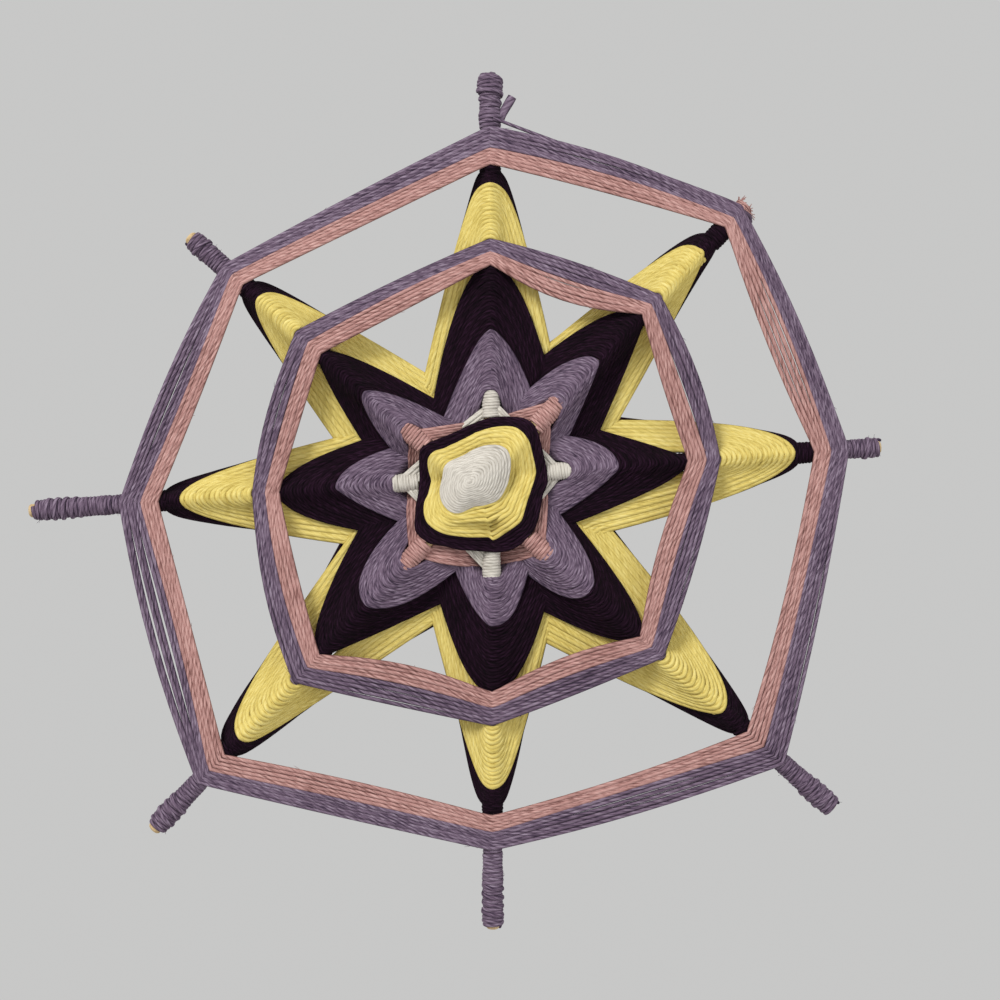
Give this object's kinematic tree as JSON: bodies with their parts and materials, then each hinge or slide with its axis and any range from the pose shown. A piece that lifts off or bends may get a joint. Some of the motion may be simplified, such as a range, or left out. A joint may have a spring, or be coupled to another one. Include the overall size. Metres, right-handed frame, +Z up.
{
  "type": "gods eye wall hanging on wooden dowels",
  "caption": "Woven yarn mandala on crossed wooden dowels: a raised eye inside petals, pointed stars and thin open rings; hangs flat on a wall.",
  "frame": {"origin": "on the wall plane behind the top end of the upright dowel, where the piece hangs", "axes": "+Z up, +X to the right as seen from the front, the front faces -Y, the wall plane is y = 0"},
  "size_m": [0.3042, 0.0253, 0.3062],
  "materials": {
    "eye_white": "off-white yarn",
    "ring_yellow": "lemon yellow yarn",
    "ring_dark": "aubergine yarn",
    "square_white": "off-white yarn",
    "square_pink": "dusty pink yarn",
    "petals_lavender": "grey lavender yarn",
    "star_dark": "aubergine yarn",
    "ring_inner_pink": "dusty pink yarn",
    "ring_inner_lavender": "grey lavender yarn",
    "star_yellow": "lemon yellow yarn",
    "tips_dark": "aubergine yarn",
    "ring_outer_pink": "dusty pink yarn",
    "ring_outer_lavender": "grey lavender yarn",
    "dowel_upright": "bare, matte",
    "dowel_diagonal_rising": "bare, matte",
    "dowel_level": "bare, matte",
    "dowel_diagonal_falling": "bare, matte",
    "wrap_n": "grey lavender yarn",
    "wrap_e": "grey lavender yarn",
    "wrap_se": "grey lavender yarn",
    "wrap_s": "grey lavender yarn",
    "wrap_sw": "grey lavender yarn",
    "wrap_w": "grey lavender yarn",
    "wrap_nw": "grey lavender yarn",
    "knot_ne": "dusty pink yarn"
  },
  "bodies": {
    "root": {"eye_white": "eye_white", "ring_yellow": "ring_yellow", "ring_dark": "ring_dark", "square_white": "square_white", "square_pink": "square_pink", "petals_lavender": "petals_lavender", "star_dark": "star_dark", "ring_inner_pink": "ring_inner_pink", "ring_inner_lavender": "ring_inner_lavender", "star_yellow": "star_yellow", "tips_dark": "tips_dark", "ring_outer_pink": "ring_outer_pink", "ring_outer_lavender": "ring_outer_lavender", "dowel_upright": "dowel_upright", "dowel_diagonal_rising": "dowel_diagonal_rising", "dowel_level": "dowel_level", "dowel_diagonal_falling": "dowel_diagonal_falling", "wrap_n": "wrap_n", "wrap_e": "wrap_e", "wrap_se": "wrap_se", "wrap_s": "wrap_s", "wrap_sw": "wrap_sw", "wrap_w": "wrap_w", "wrap_nw": "wrap_nw", "knot_ne": "knot_ne"}
  },
  "joints": []
}
